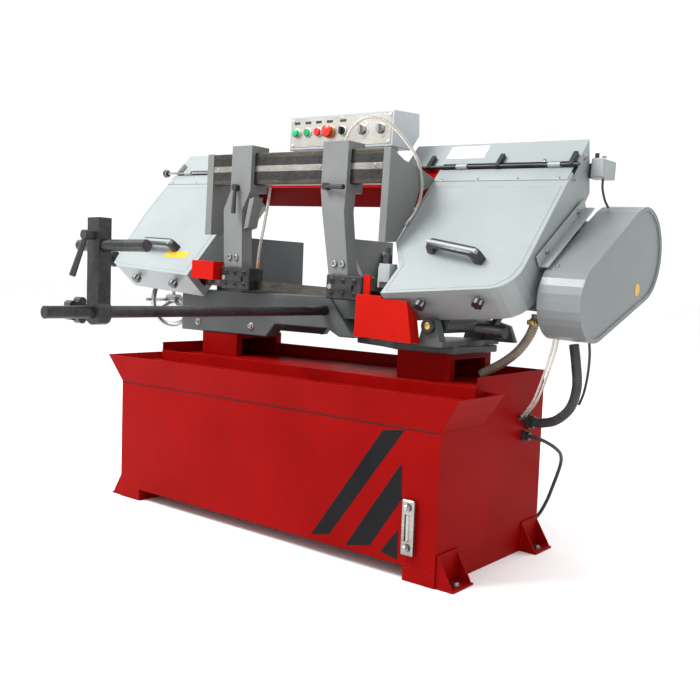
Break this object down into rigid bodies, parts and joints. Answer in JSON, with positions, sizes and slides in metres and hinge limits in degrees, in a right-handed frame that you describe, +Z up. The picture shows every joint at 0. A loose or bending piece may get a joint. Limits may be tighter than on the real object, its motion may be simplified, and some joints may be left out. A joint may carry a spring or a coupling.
{
  "type": "horizontal metal-cutting band saw",
  "caption": "Horizontal metal-cutting band saw with a swivelling, tilting bow, hinged wheel covers, screw vise, length stop and coolant cabinet.",
  "frame": {"origin": "centre of the machine's footprint box on the floor, without the free mains cord", "axes": "+X along the blade towards the drive wheel, +Y from the operator's side to the rear, +Z up"},
  "size_m": [1.8857, 1.4349, 1.2424],
  "materials": {
    "red_paint": "gloss red enamel",
    "grey_paint": "light grey enamel",
    "casting": "mid grey enamel on cast iron",
    "steel": "oiled bare steel",
    "black_steel": "black oxide",
    "black_plastic": "moulded plastic",
    "panel": "brushed stainless sheet",
    "green_plastic": "moulded plastic",
    "red_plastic": "moulded plastic",
    "rubber": "flexible hose and cord jacket"
  },
  "bodies": {
    "machine": {"cabinet": "red_paint", "skid_left": "grey_paint", "skid_right": "grey_paint", "coolant_tray": "grey_paint", "level_gauge": "black_plastic", "conduit_gland": "black_plastic", "mains_gland": "black_plastic", "bed_pedestal": "grey_paint", "turret_pedestal": "grey_paint", "swivel_base": "casting", "bed": "grey_paint", "fixed_jaw": "casting", "stop_rod": "steel", "motor_conduit": "rubber", "drain_hose": "rubber", "mains_cord": "rubber", "mains_plug": "black_plastic"},
    "jaw_slide": {"moving_jaw": "casting"},
    "vise_wheel": {"vise_handwheel": "black_steel"},
    "stop_slide": {"stop_bracket": "casting"},
    "stop_pin_body": {"stop_pin": "steel"},
    "stop_lever": {"stop_clamp_lever": "black_plastic"},
    "stop_knob": {"stop_star_knob": "black_plastic"},
    "turret": {"swivel_turret": "casting", "hinge_pin": "black_steel"},
    "bow": {"left_housing": "casting", "right_housing": "casting", "back_beam": "red_paint", "guide_beam": "steel", "blade": "steel", "left_guard": "red_paint", "right_guard": "red_paint", "gearbox": "casting", "motor": "casting", "belt_guard": "casting", "limit_switch": "black_plastic", "control_box": "panel", "feed_cylinder": "black_steel", "left_bracket": "casting", "right_bracket": "casting", "left_hinge_rod": "steel", "right_hinge_rod": "steel"},
    "left_lid": {"left_cover": "grey_paint"},
    "right_lid": {"right_cover": "grey_paint"},
    "idler": {"idler_wheel": "casting"},
    "drive": {"drive_wheel": "casting"},
    "tensioner": {"tension_knob": "black_plastic"},
    "left_guide_arm": {"left_arm": "casting", "left_guide": "black_steel"},
    "left_lever": {"left_arm_lever": "black_plastic"},
    "right_guide_arm": {"right_arm": "casting", "right_guide": "black_steel"},
    "right_lever": {"right_arm_lever": "black_plastic"},
    "start": {"start_button": "green_plastic"},
    "stop": {"stop_button": "red_plastic"},
    "estop": {"emergency_stop": "red_plastic"},
    "selector": {"selector_switch": "black_plastic"},
    "speed": {"speed_knob": "black_plastic"},
    "feed": {"feed_knob": "black_plastic"}
  },
  "joints": [
    {"name": "vise_jaw_slide", "type": "slide", "parent": "machine", "child": "jaw_slide", "axis": [1, 0, 0], "range_m": [-0.04, 0.34]},
    {"name": "vise_screw", "type": "hinge", "parent": "machine", "child": "vise_wheel", "pos_m": [-0.7285, 0.3425, 0.617], "axis": [1, 0, 0], "range_deg": [-1440, 12240]},
    {"name": "stop_rod_slide", "type": "slide", "parent": "machine", "child": "stop_slide", "axis": [0, 1, 0], "range_m": [-0.1, 0.55]},
    {"name": "stop_pin_slide", "type": "slide", "parent": "stop_slide", "child": "stop_pin_body", "axis": [1, 0, 0], "range_m": [-0.1, 0.04]},
    {"name": "stop_lever_hinge", "type": "hinge", "parent": "stop_slide", "child": "stop_lever", "pos_m": [0.1335, -0.5975, 0.792], "axis": [0, 1, 0], "range_deg": [-50, 50]},
    {"name": "stop_knob_turn", "type": "hinge", "parent": "stop_slide", "child": "stop_knob", "pos_m": [0.0735, -0.581, 0.62], "axis": [1, 0, 0], "continuous": true},
    {"name": "bow_swivel", "type": "hinge", "parent": "machine", "child": "turret", "pos_m": [0.5115, 0.3225, 0.545], "axis": [0, 0, 1], "range_deg": [0, 45]},
    {"name": "bow_lift", "type": "hinge", "parent": "turret", "child": "bow", "pos_m": [0.5415, 0.3225, 0.6], "axis": [0, 1, 0], "range_deg": [0, 36], "deforming": ["motor_conduit", "drain_hose"]},
    {"name": "left_cover_hinge", "type": "hinge", "parent": "bow", "child": "left_lid", "pos_m": [-0.59304, 0.4119, 1.08524], "axis": [-0.9995, 0, 0.0332], "range_deg": [0, 100]},
    {"name": "right_cover_hinge", "type": "hinge", "parent": "bow", "child": "right_lid", "pos_m": [0.59231, 0.4119, 1.04591], "axis": [-0.9995, 0, 0.0332], "range_deg": [0, 100]},
    {"name": "drive_wheel_spin", "type": "hinge", "parent": "bow", "child": "drive", "pos_m": [0.58462, 0.30371, 0.81413], "axis": [0.0218, -0.7547, 0.6557], "continuous": true},
    {"name": "idler_wheel_spin", "type": "hinge", "parent": "bow", "child": "idler", "pos_m": [-0.59873, 0.30371, 0.85339], "axis": [0.0218, -0.7547, 0.6557], "continuous": true},
    {"name": "tension_knob_turn", "type": "hinge", "parent": "bow", "child": "tensioner", "pos_m": [-0.90399, 0.21383, 0.76006], "axis": [0.9995, 0, -0.0332], "continuous": true},
    {"name": "left_arm_slide", "type": "slide", "parent": "bow", "child": "left_guide_arm", "axis": [0.9995, 0, -0.0332], "range_m": [0, 0.2]},
    {"name": "left_arm_clamp", "type": "hinge", "parent": "left_guide_arm", "child": "left_lever", "pos_m": [-0.20202, 0.1565, 0.98887], "axis": [0, 1, 0], "range_deg": [-60, 60]},
    {"name": "right_arm_slide", "type": "slide", "parent": "bow", "child": "right_guide_arm", "axis": [0.9995, 0, -0.0332], "range_m": [-0.1, 0]},
    {"name": "right_arm_clamp", "type": "hinge", "parent": "right_guide_arm", "child": "right_lever", "pos_m": [0.17181, 0.1565, 0.97746], "axis": [0, 1, 0], "range_deg": [-60, 60]},
    {"name": "start_press", "type": "slide", "parent": "bow", "child": "start", "axis": [0, 1, 0], "range_m": [0, 0.004], "stiffness_N_per_m": 300},
    {"name": "stop_press", "type": "slide", "parent": "bow", "child": "stop", "axis": [0, 1, 0], "range_m": [0, 0.004], "stiffness_N_per_m": 300},
    {"name": "emergency_press", "type": "slide", "parent": "bow", "child": "estop", "axis": [0, 1, 0], "range_m": [0, 0.006], "stiffness_N_per_m": 300},
    {"name": "selector_turn", "type": "hinge", "parent": "bow", "child": "selector", "pos_m": [0.06322, 0.3425, 1.17267], "axis": [0, 1, 0], "range_deg": [-45, 45]},
    {"name": "speed_turn", "type": "hinge", "parent": "bow", "child": "speed", "pos_m": [0.14018, 0.3425, 1.17012], "axis": [0, 1, 0], "range_deg": [-135, 135]},
    {"name": "feed_turn", "type": "hinge", "parent": "bow", "child": "feed", "pos_m": [0.21114, 0.3425, 1.16777], "axis": [0, 1, 0], "range_deg": [-135, 135]}
  ],
  "couplings": [
    {"joint": "vise_jaw_slide", "follows": "vise_screw", "m_per_rad": 0.0015915},
    {"joint": "idler_wheel_spin", "follows": "drive_wheel_spin", "ratio": 1}
  ]
}
